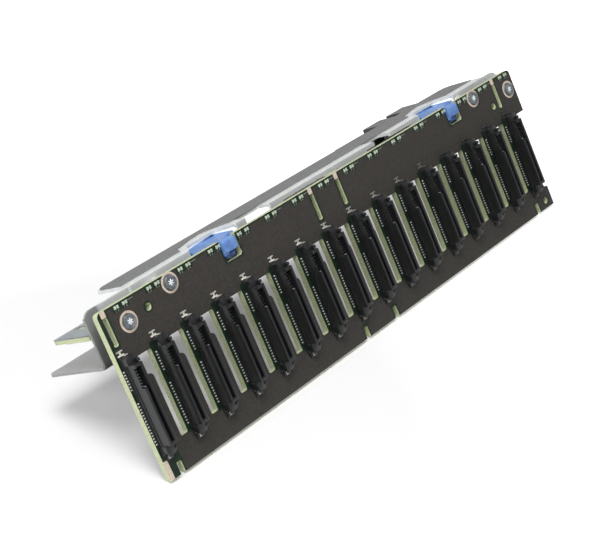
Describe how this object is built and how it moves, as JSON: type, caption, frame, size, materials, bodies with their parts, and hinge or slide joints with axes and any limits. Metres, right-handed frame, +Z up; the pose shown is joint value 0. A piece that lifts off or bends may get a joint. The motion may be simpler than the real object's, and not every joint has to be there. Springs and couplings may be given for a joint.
{
  "type": "drive backplane board",
  "caption": "Long slotted circuit board carrying a row of upright drive connectors, screwed to a folded steel bracket with an expander board and two blue release tabs.",
  "frame": {"origin": "bottom centre of the whole assembly's box", "axes": "+X along the board to its right end, +Y from the connector side to the back, +Z up"},
  "size_m": [0.2866, 0.0618, 0.0739],
  "materials": {
    "circuit_board": "epoxy glass board with a dark matte solder mask, pale green cut edges",
    "connector_plastic": "black moulded plastic, satin",
    "contact_metal": "tinned copper alloy, bright",
    "clip_metal": "tinned, bright",
    "indicator": "pale translucent epoxy",
    "screw_metal": "zinc plated, bright",
    "zinc_steel": "zinc plated sheet, satin",
    "insulating_sheet": "fine matte texture",
    "cover_steel": "zinc plated sheet, satin",
    "tab_plastic": "blue moulded plastic, satin",
    "spring_steel": "spring wire",
    "chip_package": "black epoxy",
    "heat_sink": "satin extrusion"
  },
  "bodies": {
    "backplane": {"main_board": "circuit_board", "drive_connector_01": "connector_plastic", "connector_contacts_01": "contact_metal", "drive_connector_02": "connector_plastic", "connector_contacts_02": "contact_metal", "drive_connector_03": "connector_plastic", "connector_contacts_03": "contact_metal", "drive_connector_04": "connector_plastic", "connector_contacts_04": "contact_metal", "drive_connector_05": "connector_plastic", "connector_contacts_05": "contact_metal", "drive_connector_06": "connector_plastic", "connector_contacts_06": "contact_metal", "drive_connector_07": "connector_plastic", "connector_contacts_07": "contact_metal", "drive_connector_08": "connector_plastic", "connector_contacts_08": "contact_metal", "drive_connector_09": "connector_plastic", "connector_contacts_09": "contact_metal", "drive_connector_10": "connector_plastic", "connector_contacts_10": "contact_metal", "drive_connector_11": "connector_plastic", "connector_contacts_11": "contact_metal", "drive_connector_12": "connector_plastic", "connector_contacts_12": "contact_metal", "drive_connector_13": "connector_plastic", "connector_contacts_13": "contact_metal", "drive_connector_14": "connector_plastic", "connector_contacts_14": "contact_metal", "drive_connector_15": "connector_plastic", "connector_contacts_15": "contact_metal", "drive_connector_16": "connector_plastic", "connector_contacts_16": "contact_metal", "hold_down_clips": "clip_metal", "status_indicators": "indicator", "board_screws": "screw_metal", "board_standoffs": "zinc_steel", "steel_bracket": "zinc_steel", "top_sheet": "insulating_sheet", "expander_board": "circuit_board", "expander_cover": "cover_steel", "expander_posts": "zinc_steel", "pivot_pin_left": "zinc_steel", "return_spring_left": "spring_steel", "bridge_connector_left": "connector_plastic", "cable_connector_left": "connector_plastic", "pivot_pin_right": "zinc_steel", "return_spring_right": "spring_steel", "bridge_connector_right": "connector_plastic", "cable_connector_right": "connector_plastic", "power_connector": "connector_plastic", "expander_chip": "chip_package", "heat_sink": "heat_sink"},
    "left_tab": {"release_tab_left": "tab_plastic"},
    "right_tab": {"release_tab_right": "tab_plastic"}
  },
  "joints": [
    {"name": "left_tab_swing", "type": "hinge", "parent": "backplane", "child": "left_tab", "pos_m": [-0.08275, -0.01008, 0.07], "axis": [0, 0, 1], "range_deg": [0, 5.5], "stiffness_Nm_per_rad": 0.1, "springref_deg": -8.59},
    {"name": "right_tab_swing", "type": "hinge", "parent": "backplane", "child": "right_tab", "pos_m": [0.07745, -0.01008, 0.07], "axis": [0, 0, 1], "range_deg": [0, 5.5], "stiffness_Nm_per_rad": 0.1, "springref_deg": -8.59}
  ]
}
